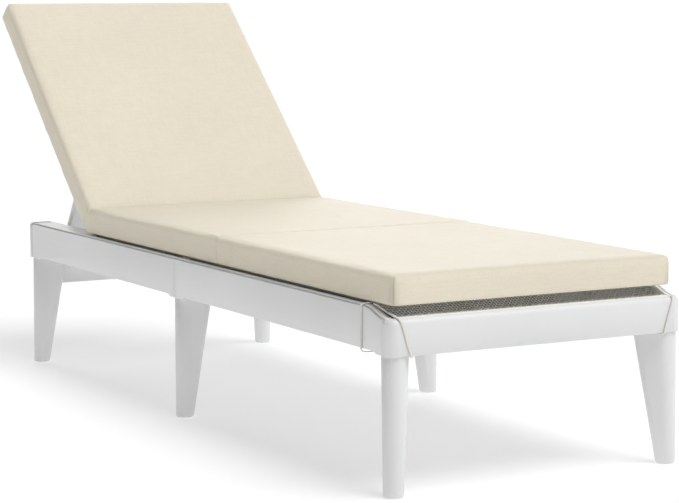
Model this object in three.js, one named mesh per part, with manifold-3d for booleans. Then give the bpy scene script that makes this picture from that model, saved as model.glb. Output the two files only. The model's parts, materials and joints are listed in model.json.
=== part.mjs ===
// Reclining sun lounger: a moulded frame on six tapered legs, two bed panels, a hinged
// backrest with a folding prop, and a three-section pad tied to the corners.
// Millimetres, +Z up. X runs across, Y from the foot end to the head end.
// The design is written from the foot face (y = 0) and moved to its origin at the end.
import * as THREE from 'three';
import { mergeVertices } from 'three/addons/utils/BufferGeometryUtils.js';
import Module from 'manifold-3d';

const wasm = await Module();
wasm.setup();

// ---- Driving dimensions ------------------------------------------------------------------------
const WIDTH = 580;
const LENGTH = 1550;
const RAIL_TOP = 305;
const RAIL_BOTTOM = 230;
const FOOT_DROP = 15;            // the rail tops and the panel run down this far at the foot end
const DROP_START = 80;
const DROP_END = 20;
const CORNER_RADIUS = 20;
const REAR_CORNER_RADIUS = 8;
const MIDDLE_Y = 800;            // middle legs, rail joints and panel joint
const GAP = 0.3;                 // between pieces that touch

// Side rail section, measured inward from its outer face
const RAIL_WIDTH = 50;
const WALL = 6;
const SKIRT = 5;
const SKIRT_BOTTOM = 240;
const LIP_WIDTH = 20;
const LIP_INSET = 3.6;           // a narrow groove runs between the outer wall and the lip
const LIP_STEP = 1.8;            // the outer wall ends this far below the lip
const GROOVE_INSET = 1.4;
const GROOVE_DEPTH = 5;
const LEDGE = RAIL_TOP - 13;
const LEDGE_UNDERSIDE = LEDGE - 6;
const ARCH_RISE = 4;             // the rail's lower edge lifts between the legs

const END_WALL = 20;             // depth of the full corner section at the foot
const HEAD_WALL = 20;
const TENON = 30;
const TENON_TOP = 268;

// Legs
const LEG_INSET = 1.5;
const LEG_TOP_RADIUS = 22;
const LEG_FOOT_RADIUS = 17;
const LEG_INNER_RADIUS = 14;
const LEG_DEPTH = 74;
const LEG_EDGE = 1.5;
const SPIGOT_RADIUS = 14;
const SPIGOT_TOP = 262;

// Bed panels
const PANEL_HALF = 268;
const PANEL_TOP = 306;
const PANEL_THICK = PANEL_TOP - LEDGE - GAP;
const PANEL_SKIN = 4;
const PANEL_RIM = 12;
const PANEL_RIB = 8;
const SEAT_END = 1244;

// Backrest, measured from the hinge line: along the panel, and square to it
const HINGE_Y = 1279;
const HINGE_Z = 280;
const RECLINE = THREE.MathUtils.degToRad(43);
const BACK_HALF = 235;
const BACK_START = -18;
const BACK_END = 596;
const BACK_TOP = 27;
const BACK_UNDERSIDE = 5;
const HINGE_LUG_RADIUS = 12;
const HINGE_LUG_WIDTH = 13;
const PIN_RADIUS = 5;

// Prop
const PROP_PIVOT = 187;
const PROP_DEPTH = -8;
const PROP_LENGTH = 166;
const PROP_HALF = 222;
const PROP_ARM = 8;
const PROP_ARM_DEPTH = 16;
const PROP_ANGLE = THREE.MathUtils.degToRad(-100);
const BAR_RADIUS = 6;
const BAR_HALF = 234;
const PROP_PIN_RADIUS = 4;

// Racks that the prop's bar rests on
const RACK_INNER = 225;
const RACK_START = 1440;
const RACK_END = 1548;
const RACK_START_TOP = 259;
const RACK_END_TOP = 252.4;
const TOOTH_DEPTH = 7;
const TOOTH_COUNT = 4;

// Head rail: a dip that lets the flat backrest and the folded prop pass
const DIP_TOP = 240;
const DIP_BOTTOM = 168;
const DIP_HALF = 246;
const DIP_INNER_HALF = 231;
const DIP_RADIUS = 30;
const DIP_DEPTH = 34;
const SKIN = 7;

// Pad
const PAD_HALF = 277;
const PAD_BOTTOM = 309;
const PAD_TOP = 360;
const PAD_FOOT = 14;
const PAD_FOLD = 647;
const PAD_SEAT_END = 1236;
const PAD_BACK_START = 34;
const PAD_BACK_END = 647;
const PAD_CORNER = 15;
const TIE_RADIUS = 1.5;

// ---- Materials ---------------------------------------------------------------------------------
const white = { color: 0xe9eaea, roughness: 0.5, metalness: 0 };
const panelWhite = { color: 0xd9d9d7, roughness: 0.6, metalness: 0 };
const steel = { color: 0xb9bcc0, roughness: 0.35, metalness: 1 };
const cream = { color: 0xf1e8d6, roughness: 0.95, metalness: 0 };
const elastic = { color: 0xeee6d2, roughness: 0.9, metalness: 0 };

// ---- Helpers -----------------------------------------------------------------------------------
const X_AXIS = new THREE.Vector3(1, 0, 0);
const Y_AXIS = new THREE.Vector3(0, 1, 0);
const Z_AXIS = new THREE.Vector3(0, 0, 1);

function polygon(points) {
  return new THREE.Shape(points.map(([a, b]) => new THREE.Vector2(a, b)));
}

function extrude(shape, depth, steps = 1) {
  return new THREE.ExtrudeGeometry(shape, { depth, steps, bevelEnabled: false, curveSegments: 5 });
}

// Shape in (y, z), running along X
function alongX(shape, x0, x1) {
  const turned = new THREE.Matrix4().makeBasis(Y_AXIS, Z_AXIS, X_AXIS);
  return extrude(shape, x1 - x0).applyMatrix4(turned).translate(x0, 0, 0);
}

// Shape in (x, z), running along Y
function alongY(shape, y0, y1) {
  const turned = new THREE.Matrix4().makeBasis(X_AXIS, Z_AXIS, Y_AXIS.clone().negate());
  return extrude(shape, y1 - y0).applyMatrix4(turned).translate(0, y1, 0);
}

// Shape in (x, y), running along Z
function alongZ(shape, z0, z1) {
  return extrude(shape, z1 - z0).translate(0, 0, z0);
}

function block(x0, x1, y0, y1, z0, z1) {
  const box = new THREE.BoxGeometry(x1 - x0, y1 - y0, z1 - z0);
  return box.translate((x0 + x1) / 2, (y0 + y1) / 2, (z0 + z1) / 2);
}

// The same block on the left or the right, from distances to the middle plane
function sideBlock(side, near, far, y0, y1, z0, z1) {
  return block(Math.min(side * near, side * far), Math.max(side * near, side * far), y0, y1, z0, z1);
}

function rodX(radius, x0, x1, y, z, segments = 16) {
  const rod = new THREE.CylinderGeometry(radius, radius, x1 - x0, segments);
  return rod.rotateZ(-Math.PI / 2).translate((x0 + x1) / 2, y, z);
}

// The same rod on the left or the right, from distances to the middle plane
function sideRod(side, radius, near, far, y, z, segments = 16) {
  return rodX(radius, Math.min(side * near, side * far), Math.max(side * near, side * far), y, z, segments);
}

function rodY(radius, y0, y1, x, z, segments = 12) {
  const rod = new THREE.CylinderGeometry(radius, radius, y1 - y0, segments);
  return rod.translate(x, (y0 + y1) / 2, z);
}

function rodZ(radius, z0, z1, x, y, segments = 16) {
  const rod = new THREE.CylinderGeometry(radius, radius, z1 - z0, segments);
  return rod.rotateX(Math.PI / 2).translate(x, y, (z0 + z1) / 2);
}

function solid(geometry) {
  const bare = geometry.clone();
  bare.deleteAttribute('normal');
  bare.deleteAttribute('uv');
  const merged = mergeVertices(bare, 1e-4);
  const vertProperties = new Float32Array(merged.attributes.position.array);
  const triVerts = new Uint32Array(merged.index.array);
  return new wasm.Manifold(new wasm.Mesh({ numProp: 3, vertProperties, triVerts }));
}

function join(...geometries) {
  return geometries.map(solid).reduce((whole, piece) => whole.add(piece));
}

function cut(whole, ...geometries) {
  return geometries.map(solid).reduce((rest, piece) => rest.subtract(piece), whole);
}

function toGeometry(manifold) {
  const mesh = manifold.getMesh();
  const geometry = new THREE.BufferGeometry();
  geometry.setAttribute('position', new THREE.BufferAttribute(mesh.vertProperties, 3));
  geometry.setIndex(new THREE.BufferAttribute(mesh.triVerts, 1));
  geometry.computeVertexNormals();
  return geometry;
}

function addPiece(parent, name, shape, finish) {
  const geometry = shape.isBufferGeometry ? shape : toGeometry(shape);
  const mesh = new THREE.Mesh(geometry, new THREE.MeshStandardMaterial(finish));
  mesh.name = name;
  parent.add(mesh);
  return mesh;
}

const SIDES = [[-1, 'left'], [1, 'right']];

// How far the bed's top surface has dropped at y
function dropAt(y) {
  return FOOT_DROP * (1 - THREE.MathUtils.smoothstep(y, DROP_END, DROP_START));
}

// ---- Side rails --------------------------------------------------------------------------------
function railSection(side) {
  const outer = WIDTH / 2;
  const at = (inset, z) => [side * (outer - inset), z];
  return polygon([
    at(0, RAIL_BOTTOM),
    at(0, RAIL_TOP - LIP_STEP - 0.7),
    at(0.7, RAIL_TOP - LIP_STEP),
    at(GROOVE_INSET, RAIL_TOP - LIP_STEP),
    at(GROOVE_INSET, RAIL_TOP - GROOVE_DEPTH),
    at(LIP_INSET, RAIL_TOP - GROOVE_DEPTH),
    at(LIP_INSET, RAIL_TOP - 0.6),
    at(LIP_INSET + 0.6, RAIL_TOP),
    at(LIP_WIDTH - 3, RAIL_TOP),
    at(LIP_WIDTH, RAIL_TOP - 3),
    at(LIP_WIDTH, LEDGE),
    at(RAIL_WIDTH, LEDGE),
    at(RAIL_WIDTH, SKIRT_BOTTOM),
    at(RAIL_WIDTH - SKIRT, SKIRT_BOTTOM),
    at(RAIL_WIDTH - SKIRT, LEDGE_UNDERSIDE),
    at(WALL, LEDGE_UNDERSIDE),
    at(WALL, RAIL_BOTTOM),
  ]);
}

// Runs the section through the stations and lowers its upper part with the bed's surface
function railRun(side, stations) {
  const run = extrude(railSection(side), stations.length - 1, stations.length - 1);
  run.applyMatrix4(new THREE.Matrix4().makeBasis(X_AXIS, Z_AXIS, Y_AXIS.clone().negate()));
  const position = run.attributes.position;
  for (let i = 0; i < position.count; i += 1) {
    const y = stations[stations.length - 1 + Math.round(position.getY(i))];
    const lowered = position.getZ(i) > TENON_TOP ? dropAt(y) : 0;
    position.setY(i, y);
    position.setZ(i, position.getZ(i) - lowered);
  }
  return run;
}

// The lower edge lifts a little between two legs
function archCutter(y0, y1) {
  const top = RAIL_BOTTOM + ARCH_RISE;
  const arch = new THREE.Shape();
  arch.moveTo(y0, RAIL_BOTTOM - 10);
  arch.lineTo(y0, RAIL_BOTTOM);
  arch.quadraticCurveTo(y0 + 4, top, y0 + 18, top);
  arch.lineTo(y1 - 18, top);
  arch.quadraticCurveTo(y1 - 4, top, y1, RAIL_BOTTOM);
  arch.lineTo(y1, RAIL_BOTTOM - 10);
  return alongX(arch, -WIDTH, WIDTH);
}

const legMiddle = WIDTH / 2 - LEG_INSET - LEG_TOP_RADIUS;   // spigot centre from the middle plane
const legFootY = LEG_INSET + LEG_TOP_RADIUS;
const legHeadY = LENGTH - legFootY;
const skirtFace = WIDTH / 2 - RAIL_WIDTH;
const rackScrewYs = [RACK_START + 14, RACK_END - 60];
const rackScrewZ = 246.5;
const RACK_SINK = RACK_INNER + 3;
const LEG_SCREW_Z = 252;
const SCREW_RADIUS = 2;
const SCREW_CLEARANCE = 2.3;

// Beyond the bed panel the rail's whole top is level with its lip
const SHELF_START = SEAT_END + 2;

function sideRail(side, stations, arch) {
  let rail = solid(railRun(side, stations));
  const end = stations[stations.length - 1];
  if (end > SHELF_START) {
    const lipEdge = WIDTH / 2 - LIP_WIDTH + 4;
    rail = rail.add(solid(sideBlock(side, skirtFace, lipEdge, SHELF_START, end, LEDGE - 1, RAIL_TOP)));
  }
  rail = cut(rail, archCutter(...arch));
  const screwHoles = rackScrewYs.map((y) => rodX(SCREW_CLEARANCE, -WIDTH, WIDTH, y, rackScrewZ, 8));
  const pinHole = rodX(PIN_RADIUS + GAP, -260, 260, HINGE_Y, HINGE_Z);
  const legHole = rodX(SCREW_CLEARANCE, -SPIGOT_RADIUS - 255, 255, MIDDLE_Y, LEG_SCREW_Z, 8);
  const inner = [...screwHoles, pinHole, legHole].map((hole) => solid(hole));
  const innerHalf = solid(block(-260, 260, 0, LENGTH, 0, RAIL_TOP));
  return inner.reduce((rest, hole) => rest.subtract(hole.intersect(innerHalf)), rail);
}

// ---- End rails ---------------------------------------------------------------------------------
function roundedPlan(x, y0, y1, radius) {
  const plan = new THREE.Shape();
  plan.moveTo(-x + radius, y0);
  plan.lineTo(x - radius, y0);
  plan.absarc(x - radius, y0 + radius, radius, -Math.PI / 2, 0, false);
  plan.lineTo(x, y1 - radius);
  plan.absarc(x - radius, y1 - radius, radius, 0, Math.PI / 2, false);
  plan.lineTo(-x + radius, y1);
  plan.absarc(-x + radius, y1 - radius, radius, Math.PI / 2, Math.PI, false);
  plan.lineTo(-x, y0 + radius);
  plan.absarc(-x + radius, y0 + radius, radius, Math.PI, 1.5 * Math.PI, false);
  return plan;
}

const TENON_NEAR = skirtFace + SKIRT + 0.5;
const TENON_FAR = WIDTH / 2 - WALL - 0.5;

function footRail() {
  const top = RAIL_TOP - FOOT_DROP;
  const round = 10;
  const slab = new THREE.ExtrudeGeometry(roundedPlan(WIDTH / 2, 0, 200, CORNER_RADIUS), {
    depth: 60,
    bevelThickness: round,
    bevelSize: round,
    bevelOffset: -round,
    bevelSegments: 4,
    curveSegments: 6,
  }).translate(0, 0, top - round - 60);
  const ledge = LEDGE - FOOT_DROP;
  let rail = solid(slab).intersect(solid(block(-400, 400, -1, END_WALL, RAIL_BOTTOM, RAIL_TOP)));
  rail = rail.add(solid(block(-skirtFace, skirtFace, 1, RAIL_WIDTH, SKIRT_BOTTOM, ledge)));
  for (const [side] of SIDES) {
    rail = rail.add(solid(sideBlock(side, TENON_NEAR, TENON_FAR, 5, RAIL_WIDTH, 232, TENON_TOP)));
    rail = rail.add(solid(sideBlock(side, skirtFace - 30, TENON_FAR, 5, END_WALL, 232, TENON_TOP)));
    rail = cut(rail, rodZ(SPIGOT_RADIUS + GAP, 200, SPIGOT_TOP + 1, side * legMiddle, legFootY));
    rail = cut(rail, rodY(SCREW_CLEARANCE, 12, RAIL_WIDTH + 5, side * legMiddle, LEG_SCREW_Z, 8));
  }
  const panelSeat = block(-PANEL_HALF - GAP, PANEL_HALF + GAP, 12, 60, ledge, RAIL_TOP + 9);
  const channel = block(12 - skirtFace, skirtFace - 12, WALL, RAIL_WIDTH - SKIRT, 200, ledge - WALL);
  return cut(rail, panelSeat, channel);
}

function headRailOutline() {
  const outline = new THREE.Shape();
  const outer = WIDTH / 2;
  outline.moveTo(-outer, RAIL_BOTTOM);
  outline.lineTo(-DIP_HALF, RAIL_BOTTOM);
  outline.lineTo(-DIP_HALF, DIP_BOTTOM + DIP_RADIUS);
  outline.absarc(-DIP_HALF + DIP_RADIUS, DIP_BOTTOM + DIP_RADIUS, DIP_RADIUS, Math.PI, 1.5 * Math.PI, false);
  outline.lineTo(DIP_HALF - DIP_RADIUS, DIP_BOTTOM);
  outline.absarc(DIP_HALF - DIP_RADIUS, DIP_BOTTOM + DIP_RADIUS, DIP_RADIUS, 1.5 * Math.PI, 0, false);
  outline.lineTo(DIP_HALF, RAIL_BOTTOM);
  outline.lineTo(outer, RAIL_BOTTOM);
  outline.lineTo(outer, RAIL_TOP - 5);
  outline.lineTo(outer - 7, RAIL_TOP);
  outline.lineTo(skirtFace, RAIL_TOP);
  outline.lineTo(skirtFace, DIP_TOP);
  outline.lineTo(-skirtFace, DIP_TOP);
  outline.lineTo(-skirtFace, RAIL_TOP);
  outline.lineTo(7 - outer, RAIL_TOP);
  outline.lineTo(-outer, RAIL_TOP - 5);
  return outline;
}

function headRail() {
  const face = LENGTH - HEAD_WALL;
  const inner = LENGTH - DIP_DEPTH;
  const outside = alongZ(roundedPlan(WIDTH / 2, 0, LENGTH, REAR_CORNER_RADIUS), 0, 400);
  let rail = solid(alongY(headRailOutline(), LENGTH - SKIN, LENGTH));
  rail = rail.add(solid(block(-DIP_INNER_HALF, DIP_INNER_HALF, inner, LENGTH - 1, DIP_BOTTOM + 12, DIP_TOP)));
  rail = cut(rail, block(6 - DIP_INNER_HALF, DIP_INNER_HALF - 6, inner + 5, LENGTH - SKIN, 100, DIP_TOP - WALL));
  for (const [side] of SIDES) {
    rail = rail.add(solid(sideBlock(side, skirtFace, WIDTH / 2, face, LENGTH - 1, RAIL_BOTTOM, RAIL_TOP - 4)));
    rail = rail.add(solid(sideBlock(side, TENON_NEAR, TENON_FAR, face - TENON, LENGTH - 3, 232, TENON_TOP)));
    rail = cut(rail, rodZ(SPIGOT_RADIUS + GAP, 200, SPIGOT_TOP + 1, side * legMiddle, legHeadY));
    rail = cut(rail, rodY(SCREW_CLEARANCE, face - TENON - 5, legHeadY + 11, side * legMiddle, LEG_SCREW_Z, 8));
  }
  return rail.intersect(solid(outside));
}

// ---- Legs --------------------------------------------------------------------------------------
// Plan outline: a broad round nose and a narrow inner end, drawn along +X from the nose centre
const innerOffset = LEG_DEPTH - LEG_TOP_RADIUS - LEG_INNER_RADIUS;

function legOutline() {
  const spread = Math.acos((LEG_TOP_RADIUS - LEG_INNER_RADIUS) / innerOffset);
  const points = [];
  for (let step = 0; step <= 12; step += 1) {
    const angle = spread + (step / 12) * 2 * (Math.PI - spread);
    points.push([LEG_TOP_RADIUS * Math.cos(angle), LEG_TOP_RADIUS * Math.sin(angle)]);
  }
  for (let step = 0; step <= 6; step += 1) {
    const angle = -spread + (step / 6) * 2 * spread;
    const x = innerOffset + LEG_INNER_RADIUS * Math.cos(angle);
    points.push([x, LEG_INNER_RADIUS * Math.sin(angle)]);
  }
  return polygon(points);
}

// footShift moves the round foot's centre towards the nose, so that the nose edge stays upright
function legBlade(footShift) {
  const heights = [0, 3, RAIL_BOTTOM - GAP];
  const blade = extrude(legOutline(), 2, 2);
  const position = blade.attributes.position;
  for (let i = 0; i < position.count; i += 1) {
    const z = heights[Math.round(position.getZ(i))];
    const taper = 1 - z / (RAIL_BOTTOM - GAP);
    const corner = new THREE.Vector2(position.getX(i), position.getY(i));
    const isNose = Math.abs(corner.length() - LEG_TOP_RADIUS) < 0.01;
    const centre = new THREE.Vector2(isNose ? 0 : innerOffset, 0);
    const spoke = corner.sub(centre).normalize();
    const topRadius = isNose ? LEG_TOP_RADIUS : LEG_INNER_RADIUS;
    const edge = z === 0 ? LEG_EDGE : 0;
    const radius = THREE.MathUtils.lerp(topRadius, LEG_FOOT_RADIUS, taper) - edge;
    const middle = THREE.MathUtils.lerp(centre.x, -footShift, taper);
    position.setXYZ(i, middle + spoke.x * radius, spoke.y * radius, z);
  }
  return blade;
}

function leg(x, y, direction) {
  const diagonal = direction % (Math.PI / 2) !== 0;
  const footShift = (LEG_TOP_RADIUS - LEG_FOOT_RADIUS) * (diagonal ? Math.SQRT2 : 1);
  const blade = legBlade(footShift).rotateZ(direction).translate(x, y, 0);
  return join(blade, rodZ(SPIGOT_RADIUS, RAIL_BOTTOM - 20, SPIGOT_TOP, x, y));
}

// A screw along +Y whose head rests at y = 0
function screwGeometry(length) {
  const profile = [[0, -2.5], [3, -2.5], [4.2, -1.4], [4.2, 0], [SCREW_RADIUS, 0]];
  const tip = [[SCREW_RADIUS, length - 3], [0, length]];
  const points = [...profile, ...tip].map(([r, y]) => new THREE.Vector2(r, y));
  return new THREE.LatheGeometry(points, 10);
}

// ---- Bed panels --------------------------------------------------------------------------------
function surfaceStations(y0, y1) {
  const stations = [y0, 20, 32, 44, 56, 68, 80, y1];
  return stations.filter((y, i) => (y >= y0 && y <= y1) || i === 0).filter((y, i, all) => y !== all[i - 1]);
}

// A side view strip of the bed between two depths below its top surface
function bedStrip(y0, y1, upper, lower) {
  const stations = surfaceStations(y0, y1);
  const topLine = stations.map((y) => [y, PANEL_TOP - dropAt(y) - upper]);
  const lowLine = stations.map((y) => [y, PANEL_TOP - dropAt(y) - lower]).reverse();
  return polygon([...topLine, ...lowLine]);
}

// Start and end of each pocket between ribs, over a span that has a rim at both ends
function pockets(from, to, count, rim, rib) {
  const pitch = (to - from - 2 * rim + rib) / count;
  return Array.from({ length: count }, (_, i) => [from + rim + i * pitch, from + rim + (i + 1) * pitch - rib]);
}

function seatPanel(y0, y1, bays) {
  let panel = solid(alongX(bedStrip(y0, y1, 0, PANEL_THICK), -PANEL_HALF, PANEL_HALF));
  for (const [start, end] of pockets(y0, y1, bays, PANEL_RIM, PANEL_RIB)) {
    for (const [near, far] of pockets(-PANEL_HALF, PANEL_HALF, 4, PANEL_RIM, PANEL_RIB)) {
      panel = cut(panel, alongX(bedStrip(start, end, PANEL_SKIN, PANEL_THICK + 9), near, far));
    }
  }
  return panel;
}

function crossBeam(y) {
  const half = 20;
  const [top, bottom] = [LEDGE, 262];
  const section = polygon([
    [y - half, bottom], [y - half, top], [y + half, top], [y + half, bottom],
    [y + half - 4, bottom], [y + half - 4, top - 4], [y - half + 4, top - 4], [y - half + 4, bottom],
  ]);
  return alongX(section, GAP - skirtFace, skirtFace - GAP);
}

function railJoiner(side) {
  const body = sideBlock(side, TENON_NEAR, TENON_FAR, MIDDLE_Y - 45, MIDDLE_Y + 45, 236, TENON_TOP);
  const socket = rodZ(SPIGOT_RADIUS + GAP, 200, SPIGOT_TOP + 1, side * legMiddle, MIDDLE_Y);
  const screwHole = sideRod(side, SCREW_CLEARANCE, TENON_NEAR - 9, legMiddle, MIDDLE_Y, LEG_SCREW_Z, 8);
  return cut(solid(body), socket, screwHole);
}

// ---- Racks -------------------------------------------------------------------------------------
function rack(side) {
  const pitch = (RACK_END - RACK_START - 8) / TOOTH_COUNT;
  const topAt = (y) => {
    const share = (y - RACK_START) / (RACK_END - RACK_START);
    return THREE.MathUtils.lerp(RACK_START_TOP, RACK_END_TOP, share);
  };
  const points = [[RACK_START, DIP_TOP + 0.5], [RACK_START, topAt(RACK_START) - TOOTH_DEPTH]];
  for (let tooth = 0; tooth < TOOTH_COUNT; tooth += 1) {
    const tip = RACK_START + (tooth + 1) * pitch;
    points.push([tip, topAt(tip)]);
    points.push([tip + 4, topAt(tip + 4)]);
    points.push([tip + 8, topAt(tip + 8) - (tooth < TOOTH_COUNT - 1 ? TOOTH_DEPTH : 0)]);
  }
  points.push([RACK_END, DIP_TOP + 0.5]);
  const [near, far] = [side * RACK_INNER, side * (skirtFace - GAP)];
  const plate = solid(alongX(polygon(points), Math.min(near, far), Math.max(near, far)));
  const holes = rackScrewYs.map((y) => rodX(SCREW_CLEARANCE, -250, 250, y, rackScrewZ, 8));
  const sinks = rackScrewYs.map((y) => rodX(5, -RACK_SINK, RACK_SINK, y, rackScrewZ, 12));
  return cut(plate, ...holes, ...sinks);
}

// ---- Backrest and prop -------------------------------------------------------------------------
function backrestPanel() {
  const rim = HINGE_LUG_WIDTH;
  let panel = solid(block(-BACK_HALF, BACK_HALF, BACK_START, BACK_END, BACK_UNDERSIDE, BACK_TOP));
  for (const [start, end] of pockets(BACK_START, BACK_END, 5, rim, PANEL_RIB)) {
    for (const [near, far] of pockets(-BACK_HALF, BACK_HALF, 4, rim, PANEL_RIB)) {
      panel = cut(panel, block(near, far, start, end, 0, BACK_TOP - PANEL_SKIN));
    }
  }
  for (const [side] of SIDES) {
    const [near, far] = [BACK_HALF - HINGE_LUG_WIDTH, BACK_HALF];
    panel = panel.add(solid(sideRod(side, HINGE_LUG_RADIUS, near, far, 0, 0)));
    panel = panel.add(solid(sideBlock(side, near, far, -8, 24, 0, BACK_UNDERSIDE + 1)));
    const [pinNear, pinFar] = [PROP_HALF + 2, PROP_HALF + 12];
    panel = panel.add(solid(sideRod(side, 10, pinNear, pinFar, PROP_PIVOT, PROP_DEPTH)));
    panel = panel.add(solid(sideBlock(side, pinNear, pinFar, PROP_PIVOT - 10, PROP_PIVOT + 10,
      PROP_DEPTH, BACK_UNDERSIDE + 1)));
  }
  const hingeBore = rodX(PIN_RADIUS + GAP, -260, 260, 0, 0);
  const propBore = rodX(PROP_PIN_RADIUS + GAP, -260, 260, PROP_PIVOT, PROP_DEPTH, 12);
  return cut(panel, hingeBore, propBore);
}

// Drawn along +Y from its pivot to the centre of its bar
function propPanel() {
  const half = PROP_ARM_DEPTH / 2;
  let prop = solid(block(2 - PROP_HALF, PROP_HALF - 2, 16, PROP_LENGTH - 14, -half, -half + 4));
  for (const [side] of SIDES) {
    const [near, far] = [PROP_HALF - PROP_ARM, PROP_HALF];
    prop = prop.add(solid(sideBlock(side, near, far, 0, PROP_LENGTH, -half, half)));
    prop = prop.add(solid(sideRod(side, half, near, far, 0, 0)));
    prop = prop.add(solid(sideRod(side, half, near, far, PROP_LENGTH, 0)));
  }
  prop = prop.add(solid(block(-PROP_HALF + 2, PROP_HALF - 2, PROP_LENGTH - 18, PROP_LENGTH - 14, -half, half)));
  prop = prop.add(solid(block(-PROP_HALF + 2, PROP_HALF - 2, 16, 20, -half, half)));
  for (const rib of [-110, 0, 110]) {
    prop = prop.add(solid(block(rib - 2, rib + 2, 17, PROP_LENGTH - 15, -half, half - 2)));
  }
  const barBore = rodX(BAR_RADIUS + GAP, -300, 300, PROP_LENGTH, 0);
  const pinBore = rodX(PROP_PIN_RADIUS + GAP, -300, 300, 0, 0, 12);
  return cut(prop, barBore, pinBore);
}

// ---- Pad and ties ------------------------------------------------------------------------------
function padSection(y0, y1, z0, z1) {
  return alongZ(roundedPlan(PAD_HALF, y0, y1, PAD_CORNER), z0, z1);
}

function tube(points, radius, steps) {
  const route = new THREE.CatmullRomCurve3(points.map((point) => new THREE.Vector3(...point)), false);
  const section = new THREE.Shape();
  section.absarc(0, 0, radius, 0, 2 * Math.PI, false);
  return new THREE.ExtrudeGeometry(section, { steps, extrudePath: route, curveSegments: 4 });
}

// Sewn to the pad's lower edge, down the side face, round behind the leg and up the front face
function footTieRoute(side) {
  const route = [
    [273, 87.6, 307], [280, 87.6, 307], [286.6, 87.6, 307], [291.4, 87.6, 304.4], [292.1, 87.6, 298],
    [291.9, 87.6, 270], [291.9, 87.6, 242], [291.4, 87.4, 232], [288, 86.6, 228.2], [282, 85, 227.8],
    [256, 80.5, 227.6], [234, 72, 227.6], [222, 60, 227.6], [222, 46, 227.6], [231, 30, 227.6],
    [243, 12, 227.4], [247.6, 2.4, 226.8], [250, -2, 228], [251.8, -2.4, 233],
    [255.6, -1.9, 246], [262, -1.9, 268], [266, -1.8, 280], [268.6, 0.2, 287.6],
    [270.2, 4.8, 291.6], [271.4, 14, 293.4], [274, 32, 297.4], [276.6, 52, 304], [279, 62, 306.6],
    [276, 72, 307.2],
  ];
  return route.map(([x, y, z]) => [side * x, y, z]);
}

// On the back of the backrest, round the panel's top corner; measured from the hinge line
function headTieRoute(side) {
  const route = [
    [258, 500, 27.2], [248, 500, 26.4], [240, 500, 24], [237.4, 500, 18], [237.2, 500, 8],
    [236.8, 500.5, 3.6], [234.2, 502, 2], [228, 508, 1.8], [202, 551, 1.8], [186, 588, 1.8],
    [183, 595, 2.2], [180.8, 597.9, 3.8], [180.2, 598.2, 9], [180, 598.4, 18], [180, 600, 24.2],
    [180, 606, 26.6], [180, 616, 27.2],
  ];
  return route.map(([x, y, z]) => [side * x, y, z]);
}

// ---- Assembly ----------------------------------------------------------------------------------
const group = new THREE.Group();
const frame = new THREE.Group();
group.add(frame);
const lowEdge = BACK_TOP + PAD_BOTTOM - PANEL_TOP;
const headReach = HINGE_Y + PAD_BACK_END * Math.cos(RECLINE) - lowEdge * Math.sin(RECLINE);
const footReach = -1.9 - TIE_RADIUS;
frame.position.y = -(headReach + footReach) / 2;

const footStations = [END_WALL + GAP, 32, 44, 56, 68, 80, MIDDLE_Y - GAP / 2];
const headStations = [MIDDLE_Y + GAP / 2, LENGTH - HEAD_WALL - GAP];
addPiece(frame, 'foot_rail', footRail(), white);
addPiece(frame, 'head_rail', headRail(), white);

const INWARD = { '-1': 0, '1': Math.PI };
for (const [side, word] of SIDES) {
  addPiece(frame, `side_rail_${word}_foot`, sideRail(side, footStations, [44, MIDDLE_Y - 24]), white);
  addPiece(frame, `side_rail_${word}_head`, sideRail(side, headStations, [MIDDLE_Y + 24, 1500]), white);
  addPiece(frame, `rail_joiner_${word}`, railJoiner(side), white);

  const inward = INWARD[side];
  const legs = [
    ['foot', legFootY, inward + side * -Math.PI / 4],
    ['middle', MIDDLE_Y, inward],
    ['head', legHeadY, inward + side * Math.PI / 4],
  ];
  for (const [place, y, direction] of legs) {
    const whole = leg(side * legMiddle, y, direction);
    const pilot = place === 'middle'
      ? rodX(SCREW_RADIUS + GAP, side * legMiddle - 30, side * legMiddle + 30, y, LEG_SCREW_Z, 8)
      : rodY(SCREW_RADIUS + GAP, y - 30, y + 30, side * legMiddle, LEG_SCREW_Z, 8);
    addPiece(frame, `leg_${word}_${place}`, cut(whole, pilot), white);
  }

  const footScrew = screwGeometry(34).rotateX(Math.PI);
  footScrew.translate(side * legMiddle, RAIL_WIDTH + GAP, LEG_SCREW_Z);
  addPiece(frame, `leg_screw_${word}_foot`, footScrew, steel);
  const headScrew = screwGeometry(34).translate(side * legMiddle, LENGTH - HEAD_WALL - TENON - GAP, LEG_SCREW_Z);
  addPiece(frame, `leg_screw_${word}_head`, headScrew, steel);
  const middleScrew = screwGeometry(34).rotateZ(-side * Math.PI / 2);
  middleScrew.translate(side * (skirtFace - GAP), MIDDLE_Y, LEG_SCREW_Z);
  addPiece(frame, `leg_screw_${word}_middle`, middleScrew, steel);

  const pin = join(
    sideRod(side, PIN_RADIUS, 217, 253, HINGE_Y, HINGE_Z),
    sideRod(side, 6.5, 217, 221, HINGE_Y, HINGE_Z),
  );
  addPiece(frame, `hinge_pin_${word}`, pin, steel);

  addPiece(frame, `prop_rack_${word}`, rack(side), white);
  rackScrewYs.forEach((y, index) => {
    const screw = screwGeometry(20).rotateZ(-side * Math.PI / 2);
    screw.translate(side * (RACK_SINK - GAP), y, rackScrewZ);
    addPiece(frame, `rack_screw_${word}_${index + 1}`, screw, steel);
  });

  addPiece(frame, `foot_tie_${word}`, tube(footTieRoute(side), TIE_RADIUS, 56), elastic);
}

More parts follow.
